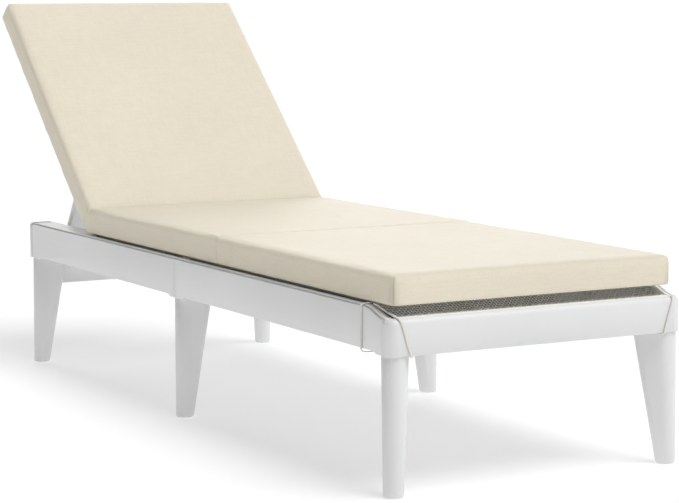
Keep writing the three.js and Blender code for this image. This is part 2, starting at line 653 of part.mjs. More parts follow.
addPiece(frame, 'seat_panel_foot', seatPanel(12 + GAP, MIDDLE_Y - GAP, 4), panelWhite);
addPiece(frame, 'seat_panel_middle', seatPanel(MIDDLE_Y + GAP, SEAT_END, 3), panelWhite);
const beams = [['foot', 400], ['middle', MIDDLE_Y], ['hinge', 1218]];
for (const [place, y] of beams) {
  addPiece(frame, `cross_beam_${place}`, crossBeam(y), white);
}
addPiece(frame, 'pad_foot_section', padSection(PAD_FOOT, PAD_FOLD - 1, PAD_BOTTOM, PAD_TOP), cream);
addPiece(frame, 'pad_seat_section', padSection(PAD_FOLD + 1, PAD_SEAT_END, PAD_BOTTOM, PAD_TOP), cream);

const backrest = new THREE.Group();
backrest.position.set(0, HINGE_Y, HINGE_Z);
backrest.rotation.x = RECLINE;
frame.add(backrest);
addPiece(backrest, 'backrest_panel', backrestPanel(), panelWhite);
const padBack = padSection(PAD_BACK_START, PAD_BACK_END, lowEdge, lowEdge + PAD_TOP - PAD_BOTTOM);
addPiece(backrest, 'pad_back_section', padBack, cream);

const prop = new THREE.Group();
prop.position.set(0, PROP_PIVOT, PROP_DEPTH);
prop.rotation.x = PROP_ANGLE;
backrest.add(prop);
addPiece(prop, 'prop_panel', propPanel(), white);
addPiece(prop, 'prop_bar', rodX(BAR_RADIUS, -BAR_HALF, BAR_HALF, PROP_LENGTH, 0), steel);
for (const [side, word] of SIDES) {
  const pin = join(
    sideRod(side, PROP_PIN_RADIUS, 209, 236, 0, 0, 12),
    sideRod(side, 6.5, 209, 212, 0, 0, 12),
  );
  addPiece(prop, `prop_pin_${word}`, pin, steel);
  addPiece(backrest, `head_tie_${word}`, tube(headTieRoute(side), TIE_RADIUS, 34), elastic);
}

export default group;
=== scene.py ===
"""Reclining sun lounger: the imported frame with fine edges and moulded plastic, and a sewn pad, lattice bed
panels and elastic ties made here. Metres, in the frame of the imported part."""
import json
import math

import bpy
import numpy as np
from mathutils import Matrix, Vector


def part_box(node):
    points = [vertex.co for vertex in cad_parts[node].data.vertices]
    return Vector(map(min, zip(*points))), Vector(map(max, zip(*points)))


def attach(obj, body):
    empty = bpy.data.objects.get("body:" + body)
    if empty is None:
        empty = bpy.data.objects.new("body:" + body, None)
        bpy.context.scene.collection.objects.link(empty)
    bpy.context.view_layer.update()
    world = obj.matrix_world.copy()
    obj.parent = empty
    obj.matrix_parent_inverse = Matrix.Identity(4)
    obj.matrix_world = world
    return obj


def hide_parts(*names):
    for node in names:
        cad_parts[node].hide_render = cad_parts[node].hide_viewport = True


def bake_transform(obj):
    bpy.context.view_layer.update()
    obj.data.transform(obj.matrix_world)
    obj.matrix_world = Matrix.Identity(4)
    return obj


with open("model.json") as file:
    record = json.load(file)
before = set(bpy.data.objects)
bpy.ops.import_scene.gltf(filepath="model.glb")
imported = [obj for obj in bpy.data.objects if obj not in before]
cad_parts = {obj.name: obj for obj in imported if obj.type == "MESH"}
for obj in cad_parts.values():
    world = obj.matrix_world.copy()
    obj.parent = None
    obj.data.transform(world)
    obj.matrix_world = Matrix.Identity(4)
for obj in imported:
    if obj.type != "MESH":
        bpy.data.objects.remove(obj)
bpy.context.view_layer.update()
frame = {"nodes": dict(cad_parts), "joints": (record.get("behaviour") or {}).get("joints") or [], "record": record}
MM = 0.001

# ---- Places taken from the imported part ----
recline = next(j for j in frame["joints"] if j["name"] == "backrest_recline")
HINGE = np.array(recline["pos_m"])
ANGLE = math.radians(-recline["range_deg"][0])          # the backrest lies flat at the joint's lower limit
ALONG = np.array([0.0, math.cos(ANGLE), math.sin(ANGLE)])
OUT = np.array([0.0, -math.sin(ANGLE), math.cos(ANGLE)])
FOOT_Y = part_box("foot_rail")[0].y


def rows(items, key, width):
    """One property of every item of a mesh, as rows of numbers."""
    values = np.empty(len(items) * width, np.float32)
    items.foreach_get(key, values)
    return values.reshape(-1, width).astype(float)


def points_of(mesh):
    return rows(mesh.vertices, "co", 3)


def node_points(name):
    return points_of(frame["nodes"][name].data)


def on_backrest(points):
    """Distances from the hinge line, along the backrest and square to it."""
    away = np.asarray(points, float) - HINGE
    return away @ ALONG, away @ OUT


def from_backrest(x, s, h):
    """The place at x across, s along the backrest from the hinge line and h square to it."""
    return np.array([x, HINGE[1], HINGE[2]]) + s * ALONG + h * OUT


# ---- Camera and light ----
SENSOR_WIDTH = 36                # millimetres, like the lens
LENS = 118.86
LENS_SHIFT = (0.01204, -0.00989)
CAMERA_PLACE = (-2.06786, -3.88464, 0.81444)
CAMERA_TURN = (83.429, 0.06, -28.987)    # degrees, like the suns' spreads
VIEW_DISTANCE = 900
KEY_TOWARDS = (0.22, -0.38, 0.90)
KEY_STRENGTH = 2.35
KEY_SPREAD = 40                  # how wide the sun looks
RIM_TOWARDS = (0.30, 0.86, 0.36)
RIM_STRENGTH = 1.25
RIM_SPREAD = 50
WORLD_STRENGTH = 0.12


def make_camera():
    data = bpy.data.cameras.new("camera")
    data.sensor_width = SENSOR_WIDTH
    data.lens = LENS
    data.shift_x, data.shift_y = LENS_SHIFT
    data.clip_end = VIEW_DISTANCE
    item = bpy.data.objects.new("camera", data)
    item.location = CAMERA_PLACE
    item.rotation_euler = [math.radians(angle) for angle in CAMERA_TURN]
    bpy.context.scene.collection.objects.link(item)
    bpy.context.scene.camera = item


def make_sun(name, towards, strength, spread):
    """A soft sun that stands in the given direction."""
    data = bpy.data.lights.new(name, "SUN")
    data.energy = strength
    data.angle = math.radians(spread)
    item = bpy.data.objects.new(name, data)
    item.rotation_euler = Vector(towards).to_track_quat("Z", "Y").to_euler()
    bpy.context.scene.collection.objects.link(item)


def make_world():
    room = bpy.data.worlds.new("studio")
    room.use_nodes = True
    background = room.node_tree.nodes["Background"]
    background.inputs["Color"].default_value = (1, 1, 1, 1)
    background.inputs["Strength"].default_value = WORLD_STRENGTH
    bpy.context.scene.world = room


make_camera()
make_sun("key", KEY_TOWARDS, KEY_STRENGTH, KEY_SPREAD)
make_sun("rim", RIM_TOWARDS, RIM_STRENGTH, RIM_SPREAD)
make_world()
bpy.context.scene.view_settings.view_transform = "Standard"


# ---- Materials ----
GRAIN = 0.12 * MM                # depth of the moulded plastic's eroded skin
MARKS = 0.2 * MM                 # and of its marks from use
COVER_THREADS = 900              # to the metre
ELASTIC_THREADS = 1600
WEAVE = 0.2 * MM                 # depth of the threads
SLUBS = 0.6 * MM                 # and of the thicker lengths in them


class Nodes:
    """One new material, with what adds shader nodes to it and joins them."""

    def __init__(self, name):
        self.material = bpy.data.materials.new(name)
        self.material.use_nodes = True
        self.tree = self.material.node_tree
        self.shader = self.tree.nodes["Principled BSDF"]
        self.place = self.add("ShaderNodeTexCoord").outputs["Object"]

    def add(self, kind, **settings):
        node = self.tree.nodes.new(kind)
        for key, value in settings.items():
            setattr(node, key, value)
        return node

    def join(self, source, target):
        self.tree.links.new(source, target)

    def math(self, operation, a, b=0.0):
        node = self.add("ShaderNodeMath", operation=operation)
        for socket, value in zip(node.inputs, (a, b)):
            if isinstance(value, (int, float)):
                socket.default_value = value
            else:
                self.join(value, socket)
        return node.outputs["Value"]

    def noise(self, scale, detail, source=None, stretch=None):
        vector = source or self.place
        if stretch:
            mapping = self.add("ShaderNodeMapping")
            mapping.inputs["Scale"].default_value = stretch
            self.join(vector, mapping.inputs["Vector"])
            vector = mapping.outputs["Vector"]
        node = self.add("ShaderNodeTexNoise")
        node.inputs["Scale"].default_value = scale
        node.inputs["Detail"].default_value = detail
        self.join(vector, node.inputs["Vector"])
        return node.outputs["Fac"]

    def ramp(self, value, low, high, low_at=0.3, high_at=0.7):
        node = self.add("ShaderNodeValToRGB")
        ends = node.color_ramp.elements
        ends[0].position, ends[1].position = low_at, high_at
        ends[0].color, ends[1].color = (*low, 1), (*high, 1)
        self.join(value, node.inputs["Fac"])
        return node.outputs["Color"]

    def range(self, value, low, high):
        """Spreads the middle of a noise over the given values."""
        node = self.add("ShaderNodeMapRange")
        node.inputs["From Min"].default_value = 0.3
        node.inputs["From Max"].default_value = 0.7
        node.inputs["To Min"].default_value = low
        node.inputs["To Max"].default_value = high
        self.join(value, node.inputs["Value"])
        return node.outputs["Result"]

    def bump(self, height, distance, strength, under=None):
        node = self.add("ShaderNodeBump")
        node.inputs["Distance"].default_value = distance
        node.inputs["Strength"].default_value = strength
        self.join(height, node.inputs["Height"])
        if under:
            self.join(under, node.inputs["Normal"])
        return node.outputs["Normal"]

    def set(self, **values):
        """Sets the shader's sockets, with _ for the spaces in their names, and gives the material."""
        for name, value in values.items():
            socket = self.shader.inputs[name.replace("_", " ")]
            if isinstance(value, bpy.types.NodeSocket):
                self.join(value, socket)
            else:
                socket.default_value = value
        return self.material


def shade(colour, factor):
    return tuple(min(1.0, channel * factor) for channel in colour)


def plastic(name, colour, roughness):
    """Moulded plastic: a fine eroded grain, slow variation in tone, and faint marks from use."""
    n = Nodes(name)
    slow = n.noise(6, 2)
    fine = n.noise(900, 2)
    marks = n.noise(70, 4, stretch=(1.0, 0.25, 2.4))
    skin = n.bump(fine, GRAIN, 0.55)
    surface = n.bump(marks, MARKS, 0.18, skin)
    tone = n.ramp(slow, shade(colour, 0.975), colour)
    gloss = n.range(marks, roughness - 0.05, roughness + 0.06)
    return n.set(Base_Color=tone, Roughness=gloss, Normal=surface, Specular_IOR_Level=0.42)


def lattice_plastic(name, crown, wall, roughness):
    """The lattice's plastic, with painted shade on the walls between its strands: each point's painted light value
    ramps the colour from the dark wall colour up to the plastic's own, with a little random tone.
    """
    n = Nodes(name)
    fine = n.noise(900, 2)
    # Painted shade: the mesh's per-point value darkens the strands' walls, standing in for the shade between them
    high = n.add("ShaderNodeAttribute", attribute_name="crown").outputs["Fac"]
    dust = n.math("MULTIPLY", n.math("SUBTRACT", n.noise(400, 3), 0.5), 0.25)
    tone = n.ramp(n.math("ADD", high, dust), wall, crown, 0.1, 0.9)
    gloss = n.range(fine, roughness - 0.05, roughness + 0.08)
    surface = n.bump(fine, GRAIN, 0.5)
    return n.set(Base_Color=tone, Roughness=gloss, Normal=surface, Specular_IOR_Level=0.35)


def woven(name, colour, count, sheen, roughness):
    """A plain weave laid out by the mesh's own "cloth" coordinates, with slubs, slight fading, and painted shade
    darkening the seams, by a value the mesh carries."""
    n = Nodes(name)
    cloth = n.add("ShaderNodeAttribute", attribute_name="cloth").outputs["Vector"]
    parts = n.add("ShaderNodeSeparateXYZ")
    n.join(cloth, parts.inputs["Vector"])
    warp = n.math("SINE", n.math("MULTIPLY", parts.outputs["X"], count * math.pi))
    weft = n.math("SINE", n.math("MULTIPLY", parts.outputs["Y"], count * math.pi))
    crossing = n.math("MULTIPLY", warp, weft)
    threads = n.math("ADD", n.math("ABSOLUTE", warp), n.math("ABSOLUTE", weft))
    weave = n.math("ADD", threads, n.math("MULTIPLY", crossing, 0.6))
    slub = n.noise(260, 3, cloth, (1.0, 0.12, 1.0))
    cross_slub = n.noise(260, 3, cloth, (0.12, 1.0, 1.0))
    slow = n.noise(5, 3)
    tone = n.math("ADD", n.math("MULTIPLY", slub, 0.35), n.math("MULTIPLY", cross_slub, 0.35))
    tone = n.math("ADD", tone, n.math("MULTIPLY", slow, 0.3))
    surface = n.bump(weave, WEAVE, 0.8, n.bump(slub, SLUBS, 0.25))
    # Painted shade in the pressed-in seams: darkens the colour by up to a quarter
    stitch = n.add("ShaderNodeAttribute", attribute_name="stitch").outputs["Fac"]
    seam_shaded_colour = n.add("ShaderNodeVectorMath", operation="SCALE")
    n.join(n.ramp(tone, shade(colour, 0.94), shade(colour, 1.03), 0.35, 0.65), seam_shaded_colour.inputs["Vector"])
    n.join(n.math("SUBTRACT", 1.0, n.math("MULTIPLY", stitch, 0.25)), seam_shaded_colour.inputs["Scale"])
    return n.set(Base_Color=seam_shaded_colour.outputs["Vector"], Roughness=roughness, Sheen_Weight=sheen,
                 Sheen_Roughness=0.4, Normal=surface, Specular_IOR_Level=0.5)


def zinc(name):
    """Plated steel: a faint spangle in the colour, and gloss that varies along fine brush lines."""
    n = Nodes(name)
    brushed = n.noise(300, 2, stretch=(1.0, 1.0, 9.0))
    spangle = n.noise(45, 3)
    tone = n.ramp(spangle, (0.5, 0.51, 0.53), (0.66, 0.67, 0.69))
    return n.set(Base_Color=tone, Metallic=1.0, Roughness=n.range(brushed, 0.28, 0.42),
                 Normal=n.bump(brushed, 0.08 * MM, 0.5))


def paper(name):
    """The lit studio floor: pale paper over a faint light table, so that shadows stay pale."""
    n = Nodes(name)
    tone = n.ramp(n.noise(0.4, 2), (0.49, 0.49, 0.49), (0.5, 0.5, 0.5))
    return n.set(Base_Color=tone, Roughness=0.9, Specular_IOR_Level=0.0,
                 Emission_Color=(1, 1, 1, 1), Emission_Strength=0.56)


WHITE = plastic("moulded_white", (0.83, 0.835, 0.835), 0.42)
# The second colour is painted shade, given to the walls between the strands
LATTICE = lattice_plastic("moulded_lattice", (0.92, 0.92, 0.91), (0.16, 0.16, 0.16), 0.5)
ZINC = zinc("zinc_plate")
COVER = woven("cream_cover", (0.91, 0.835, 0.675), COVER_THREADS, 0.08, 0.45)
ELASTIC = woven("cream_elastic", (0.93, 0.91, 0.85), ELASTIC_THREADS, 0.2, 0.8)
SLOT_MATERIAL = {"frame_plastic": WHITE, "panel_plastic": LATTICE, "steel": ZINC, "pad_cover": COVER,
                 "tie_elastic": ELASTIC}


# ---- Meshes ----
def new_object(name, points, faces, material):
    mesh = bpy.data.meshes.new(name)
    mesh.from_pydata([tuple(p) for p in points], [], [tuple(f) for f in faces])
    mesh.update()
    mesh.materials.append(material)
    mesh.shade_smooth()
    item = bpy.data.objects.new(name, mesh)
    bpy.context.scene.collection.objects.link(item)
    return item


class Builder:
    """Collects the points and faces of one piece, and the painted light and shade of each point, which sets its
    colour.
    """

    def __init__(self):
        self.points = []
        self.faces = []
        self.crown = []

    def loft(self, rings, ends="closed"):
        """Joins rings of as many points each, in order. The ends are closed by a face, open or joined."""
        n = len(rings[0])
        start = len(self.points)
        for ring in rings:
            self.points.extend(ring)
        for i in range(len(rings) if ends == "joined" else len(rings) - 1):
            a = start + i * n
            b = start + (i + 1) % len(rings) * n
            for k in range(n):
                m = (k + 1) % n
                self.faces.append((a + k, a + m, b + m, b + k))
        if ends == "closed":
            self.faces.append(tuple(range(start + n - 1, start - 1, -1)))
            last = start + (len(rings) - 1) * n
            self.faces.append(tuple(range(last, last + n)))


def set_cloth(item, coordinates):
    attribute = item.data.attributes.new("cloth", "FLOAT_VECTOR", "POINT")
    attribute.data.foreach_set("vector", np.asarray(coordinates, np.float32).ravel())


def set_value(item, name, values):
    attribute = item.data.attributes.new(name, "FLOAT", "POINT")
    attribute.data.foreach_set("value", np.asarray(values, np.float32))


def value_of(item, name):
    return rows(item.data.attributes[name].data, "value", 1)[:, 0]


def move_points(item, points):
    item.data.vertices.foreach_set("co", points.astype(np.float32).ravel())


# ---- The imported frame: fine edges and finishes ----
WELD = 0.02 * MM
EDGE = 1.1 * MM
SMALL_EDGE = 0.3 * MM            # on screws and pins
SHARP = math.radians(32)         # edges that turn more than this get rounded


def finish_frame():
    for name, item in frame["nodes"].items():
        part = next(p for p in frame["record"]["subparts"] if p["node"] == name)
        item.data.materials.clear()
        item.data.materials.append(SLOT_MATERIAL[part["material_slot"]])
        for face in item.data.polygons:
            face.use_smooth = True
        weld = item.modifiers.new("weld", "WELD")
        weld.merge_threshold = WELD
        edges = item.modifiers.new("edges", "BEVEL")
        edges.width = SMALL_EDGE if "screw" in name or "pin" in name else EDGE
        edges.segments = 2
        edges.limit_method = "ANGLE"
        edges.angle_limit = SHARP
        edges.harden_normals = True
        edges.use_clamp_overlap = True


finish_frame()


# ---- Pad ----
PAD_LOW, PAD_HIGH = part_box("pad_foot_section")
PAD_HALF = PAD_HIGH.x
PAD_THICK = PAD_HIGH.z - PAD_LOW.z
SEAM_ALONG = (PAD_HIGH.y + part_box("pad_seat_section")[0].y) / 2 - PAD_LOW.y
BACK_S, BACK_H = on_backrest(node_points("pad_back_section"))
INNER_BEND = 5 * MM              # radius of the cover inside its fold
PLAN_ROUND = 13 * MM
TOP_ROUND = 10.5 * MM
LOW_ROUND = 4 * MM
END_REACH = 4 * MM               # how far the head end goes past the CAD pad's at its upper edge,
END_LEAN = 7 * MM                # how much further at its lower edge,
END_RUN = 60 * MM                # and over what length it gets there
CELL = 14 * MM                   # of the cover's grid, before it is subdivided
SHRINK = 0.8 * MM                # the stuffed cover starts this much inside its full size
SWELL = 2.2 * MM                 # and may not rise further than this,
SINK = 0.3 * MM                  # sink further than this
SLIDE = 1.0 * MM                 # or slide further than this
CLOTH_FRAMES = 20
CORNER_REACH = 30 * MM           # beyond this, the distance from a corner seam no longer matters


def pad_path():
    """Lengths of the seat part, of the bend at mid thickness and of the back part, and the bend's centre."""
    outer = INNER_BEND + PAD_THICK
    top = PAD_HIGH.z + INNER_BEND
    back_low = BACK_H.min()
    drop = (back_low + outer - (top - HINGE[2]) * math.cos(ANGLE)) / math.sin(ANGLE)
    centre_y = HINGE[1] - drop
    seat = centre_y - PAD_LOW.y
    middle = ANGLE * (INNER_BEND + PAD_THICK / 2)
    start_s = (centre_y - HINGE[1]) * math.cos(ANGLE) + (top - HINGE[2]) * math.sin(ANGLE)
    return seat, middle, BACK_S.max() - start_s, np.array([centre_y, top])


SEAT_LENGTH, BEND_LENGTH, BACK_LENGTH, BEND_CENTRE = pad_path()
PAD_LENGTH = SEAT_LENGTH + BEND_LENGTH + BACK_LENGTH


def bend_pad(flat):
    """Places (across, along, up) points of the straight pad on the bed and the raised backrest."""
    x, a, c = flat.T
    radius = INNER_BEND + PAD_THICK - c
    turn = np.clip((a - SEAT_LENGTH) / BEND_LENGTH, 0, 1) * ANGLE
    before = np.minimum(a - SEAT_LENGTH, 0)
    after = np.maximum(a - SEAT_LENGTH - BEND_LENGTH, 0)
    y = BEND_CENTRE[0] + radius * np.sin(turn) + before + after * math.cos(ANGLE)
    z = BEND_CENTRE[1] - radius * np.cos(turn) + after * math.sin(ANGLE)
    return np.stack([x, y, z], 1)


def spaced(stops, step):
    """Values that pass through every stop, with gaps of about the step."""
    values = [stops[0]]
    for a, b in zip(stops, stops[1:]):
        pieces = max(1, round((b - a) / step))
        values.extend(a + (b - a) * (i + 1) / pieces for i in range(pieces))
    return np.array(values)


def pad_grid():
    """The straight pad's six faces as one closed grid: points (across, along, up) and quads."""
    edge = [0, 3.5 * MM, 7.5 * MM, PLAN_ROUND]
    near_seam = [SEAM_ALONG + away for away in (-14 * MM, -5 * MM, 0, 5 * MM, 14 * MM)]
    bend = list(SEAT_LENGTH + np.linspace(0, 1, 5) * BEND_LENGTH)
    near_bend = [SEAT_LENGTH - 24 * MM] + bend + [bend[-1] + 24 * MM]
    along = spaced(edge + near_seam + near_bend + [PAD_LENGTH - e for e in reversed(edge)], CELL)
    across = spaced([-PAD_HALF + e for e in edge] + [PAD_HALF - e for e in reversed(edge)], CELL)
    up = np.array([0, LOW_ROUND, PAD_THICK * 0.3, PAD_THICK * 0.52, PAD_THICK - TOP_ROUND - 3 * MM,
                   PAD_THICK - TOP_ROUND, PAD_THICK - 4 * MM, PAD_THICK])
    na, nb, nc = len(across), len(along), len(up)
    index = {}
    order = []

    def corner(i, j, k):
        if (i, j, k) not in index:
            index[i, j, k] = len(order)
            order.append((i, j, k))
        return index[i, j, k]

    faces = []

    def add_quad(places, flip):
        quad = [corner(*place) for place in places]
        faces.append(quad[::-1] if flip else quad)

    for k, flip in ((0, True), (nc - 1, False)):
        for i in range(na - 1):
            for j in range(nb - 1):
                add_quad([(i, j, k), (i + 1, j, k), (i + 1, j + 1, k), (i, j + 1, k)], flip)
    for i, flip in ((0, True), (na - 1, False)):
        for j in range(nb - 1):
            for k in range(nc - 1):
                add_quad([(i, j, k), (i, j + 1, k), (i, j + 1, k + 1), (i, j, k + 1)], flip)
    for j, flip in ((0, False), (nb - 1, True)):
        for i in range(na - 1):
            for k in range(nc - 1):
                add_quad([(i, j, k), (i + 1, j, k), (i + 1, j, k + 1), (i, j, k + 1)], flip)
    order = np.array(order)
    points = np.stack([across[order[:, 0]], along[order[:, 1]], up[order[:, 2]]], 1)
    return points, faces


def round_pad(points):
    """Rounds the block's upright corners and its upper and lower edges. Also gives which way outward is at
    each point, and how far outward the point is, 0 to 1."""
    plan = points[:, :2]
    low = np.array([-PAD_HALF, 0]) + PLAN_ROUND
    high = np.array([PAD_HALF, PAD_LENGTH]) - PLAN_ROUND
    core = np.clip(plan, low, high)
    away = plan - core
    reach = np.abs(away).max(1)
    length = np.linalg.norm(away, axis=1)
    outward = away / np.maximum(length, 1e-9)[:, None]
    inset = PLAN_ROUND - reach
    up = points[:, 2].copy()
    for radius, top in ((TOP_ROUND, True), (LOW_ROUND, False)):
        rise = up - (PAD_THICK - radius) if top else radius - up
        side = radius - inset
        both = (rise > 0) & (side > 0)
        scale = np.where(both, np.maximum(rise, side) / np.maximum(np.hypot(rise, side), 1e-9), 1)
        inset = np.where(both, radius - side * scale, inset)
        level = np.where(both, rise * scale, rise)
        up = np.where(both, PAD_THICK - radius + level if top else radius - level, up)
    new_plan = core + outward * (PLAN_ROUND - inset)[:, None]
    return np.column_stack([new_plan, up]), outward, reach / PLAN_ROUND


def gentle_noise(points, scale, seed):
    """Smooth repeatable waves, mostly between -1 and 1."""
    rng = np.random.default_rng(seed)
    total = np.zeros(len(points))
    for _ in range(7):
        direction = rng.normal(size=3)
        direction /= np.linalg.norm(direction)
        turns = points @ direction * 2 * math.pi / scale * rng.uniform(0.7, 1.5)
        total += np.sin(turns + rng.uniform(0, 6.3))
    return total / 4


def sewn_lines(flat, outward):
    """Distances from the cross seam and from the nearest upright corner seam, far away on open faces."""
    seam = np.abs(flat[:, 1] - SEAM_ALONG)
    diagonal = np.abs(np.abs(outward[:, 0]) - np.abs(outward[:, 1]))
    has_side = np.linalg.norm(outward, axis=1) > 0.5
    corner = np.where(has_side & (np.abs(outward).min(1) > 0.02), diagonal * PLAN_ROUND * 0.8, 1.0)
    return seam, corner


def held_points(flat, seam, corner):
    """How firmly each point is held, 0 to 1: where the pad rests, above its fold and at its seams."""
    bottom = flat[:, 2] < 0.1 * MM
    near_bend = np.abs(flat[:, 1] - SEAT_LENGTH - BEND_LENGTH / 2) < BEND_LENGTH
    above_bend = near_bend & (flat[:, 2] > PAD_THICK - 1 * MM)
    held = np.where(bottom | above_bend, 1.0, 0.0)
    held = np.maximum(held, np.where(corner < 1.2 * MM, 0.9, 0))
    return np.maximum(held, np.where((seam < 1 * MM) & ~bottom, 0.85, 0))


def blow_up(item, held):
    """Blows the closed cover up from inside with cloth simulation, and gives how far each point moved."""
    before = points_of(item.data)
    group = item.vertex_groups.new(name="held")
    for i, weight in enumerate(held):
        if weight > 0:
            group.add([i], float(weight), "REPLACE")
    cloth = item.modifiers.new("cloth", "CLOTH")
    settings = cloth.settings
    settings.quality = 4
    settings.mass = 0.25
    settings.tension_stiffness = 12
    settings.compression_stiffness = 12
    settings.shear_stiffness = 8
    settings.bending_stiffness = 0.8
    settings.use_pressure = True
    settings.uniform_pressure_force = 4
    settings.effector_weights.gravity = 0
    settings.vertex_group_mass = "held"
    settings.shrink_min = -0.012
    cloth.collision_settings.use_collision = False
    cloth.point_cache.frame_start = 1
    cloth.point_cache.frame_end = CLOTH_FRAMES
    scene = bpy.context.scene
    for step in range(1, CLOTH_FRAMES + 1):
        scene.frame_set(step)
    evaluated = item.evaluated_get(bpy.context.evaluated_depsgraph_get())
    blown = points_of(evaluated.data)
    item.modifiers.remove(cloth)
    item.vertex_groups.remove(group)
    scene.frame_set(1)
    return blown - before


def stuffing(item, held):
    """How far each point moves as the cover fills."""
    outside = rows(item.data.vertex_normals, "vector", 3)
    moved = blow_up(item, held)
    rise = (moved * outside).sum(1)[:, None]
    slide = moved - rise * outside
    far = np.linalg.norm(slide, axis=1)[:, None]
    slide *= np.minimum(far, SLIDE) / np.maximum(far, 1e-9)
    return slide + np.clip(rise, -SINK, SWELL) * outside


def subdivide(item):
    """One smooth subdivision, applied."""
    item.modifiers.new("smooth", "SUBSURF").levels = 1
    mesh = bpy.data.meshes.new_from_object(item.evaluated_get(bpy.context.evaluated_depsgraph_get()))
    item.modifiers.clear()
    item.data = mesh


def make_pad():
    block, faces = pad_grid()
    flat, outward, reach = round_pad(block)
    near_end = np.clip(1 - (PAD_LENGTH - flat[:, 1]) / END_RUN, 0, 1)
    flat[:, 1] += near_end * (END_REACH + END_LEAN * (1 - flat[:, 2] / PAD_THICK))
    seam, corner = sewn_lines(flat, outward)

    # The cover starts a little smaller than the finished pad, but as low
    small = flat.copy()
    small[:, :2] -= outward * (SHRINK * reach)[:, None]
    small[:, 2] -= SHRINK * np.clip(flat[:, 2] / PAD_THICK, 0, 1)
    placed = bend_pad(small)
    item = new_object("pad", placed, faces, COVER)
    move_points(item, placed + stuffing(item, held_points(flat, seam, corner)))

    # The weave runs on from the top down the sides
    side = reach > 0.999
    down = np.where(side, PAD_THICK - flat[:, 2], 0)
    set_cloth(item, np.column_stack([flat[:, :2] + outward * down[:, None], flat[:, 2]]))
    layout = {"along": flat[:, 1], "seam": seam, "corner": np.minimum(corner, CORNER_REACH),
              "up": flat[:, 2], "wall": np.where(side, 1.0, 0.0)}
    for name, values in layout.items():
        set_value(item, name, values)
    subdivide(item)
    layout = {name: value_of(item, name) for name in layout}
    sew(item, **layout)
    for name in layout:
        item.data.attributes.remove(item.data.attributes[name])
    return item


def bell(distance, width):
    """1 at no distance, falling off smoothly over about the width."""
    return np.exp(-((distance / width) ** 2))


def ripple(distance, length, shift=0.0):
    return np.sin(distance * 2 * math.pi / length + shift)


SEAM_PRESS = 2.3 * MM            # how deep the cross seam is pressed in, and how wide the dip is
SEAM_WIDTH = 2.6 * MM
CORNER_PRESS = 1.2 * MM
CORNER_WIDTH = 1.3 * MM
PUCKER = 0.5 * MM                # height of the puckers along the seams
SEAM_PUCKER_REACH = 22 * MM
SEAM_PUCKER_LENGTH = 31 * MM
CORNER_PUCKER_REACH = 6 * MM
CORNER_PUCKER_LENGTH = 11 * MM
HEM_RIPPLE = 0.55 * MM
HEM_REACH = 9 * MM
HEM_LENGTH = 46 * MM
PINCH = 1.6 * MM
PINCH_REACH = 16 * MM
PINCH_LENGTH = 19 * MM
UNEVEN = 0.5 * MM                # slow rise and fall of the top
UNEVEN_LENGTH = 240 * MM
SEAM_SHADE_HALF_WIDTH = 1.6 * MM           # half widths of the painted shade along the seams
CORNER_SHADE_HALF_WIDTH = 2.2 * MM


def sew(item, along, seam, corner, up, wall):
    """Presses the seams in, and adds the puckers that run off them, a rippled hem and the pinched fold."""
    points = points_of(item.data)
    normals = rows(item.data.vertex_normals, "vector", 3)
    across = points[:, 0]
    offset = -SEAM_PRESS * bell(seam, SEAM_WIDTH)
    offset -= CORNER_PRESS * wall * bell(corner, CORNER_WIDTH)
    near_seam = np.exp(-seam / SEAM_PUCKER_REACH)
    offset += PUCKER * near_seam * ripple(across, SEAM_PUCKER_LENGTH, 2 * np.sin(across * 19))
    near_corner = wall * np.exp(-corner / CORNER_PUCKER_REACH)
    offset += PUCKER * near_corner * ripple(up, CORNER_PUCKER_LENGTH)
    hem = wall * np.exp(-np.maximum(up - 3 * MM, 0) / HEM_REACH)
    offset += HEM_RIPPLE * hem * gentle_noise(np.column_stack([along, across, up * 0.2]), HEM_LENGTH, 5)
    from_bend = along - SEAT_LENGTH - BEND_LENGTH / 2
    pinch = wall * bell(np.maximum(np.abs(from_bend) - 5 * MM, 0), PINCH_REACH) * np.clip(up / PAD_THICK, 0, 1)
    offset -= PINCH * pinch * np.cos(from_bend * 2 * math.pi / PINCH_LENGTH)
    on_top = (1 - wall) * (up > 0.5 * PAD_THICK)
    offset += UNEVEN * on_top * gentle_noise(points, UNEVEN_LENGTH, 9)
    offset *= up > 1 * MM
    move_points(item, points + normals * offset[:, None])
    # Painted shade along the seams, for the cover's colour: softer at the cross seam, full at the corner seams
    set_value(item, "stitch", np.maximum(0.4 * bell(seam, SEAM_SHADE_HALF_WIDTH), wall * bell(corner, CORNER_SHADE_HALF_WIDTH)))
    item.data.update()


pad = make_pad()
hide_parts("pad_foot_section", "pad_seat_section", "pad_back_section")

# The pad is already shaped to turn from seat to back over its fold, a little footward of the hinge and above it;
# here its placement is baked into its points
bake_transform(pad)


# ---- Lattice bed panels ----
PITCH = 6.3 * MM                 # from strand to strand
STRAND = 2.1 * MM
DEPTH = 3.4 * MM                 # of a strand
LOWER = 0.4 * MM                 # how far woven strands lie under the bed's surface on average,
WAVE = 0.7 * MM                  # and how far they rise and dip where they pass over and under each other
BED_RIM = 12 * MM
BACK_RIM = 13 * MM
RIB = 8 * MM
INSET = 0.3 * MM                 # keeps faces of crossing bars out of one plane
SUNK = DEPTH - INSET             # the ribs' tops lie this far under the bed's surface
COLUMNS = 4
SOFT_EDGE = 0.8 * MM
FOOT_BEND = np.arange(20, 81, 6) * MM    # where the bed's top curves, from the foot face
BED_EDGE = 0.5 * MM              # the strands end this far inside the sides,
BACK_EDGE = 6.5 * MM             # and this far on the backrest
WOVEN_LENGTH = 110 * MM          # at the foot
BACK_START = -18 * MM            # of the backrest panel, from the hinge line
BACK_UNDERSIDE = 5.6 * MM        # and its underside, above that line
LUG_STEPS = 48
LUG_ROOT = 1 * MM                # the lugs run this far into the panel
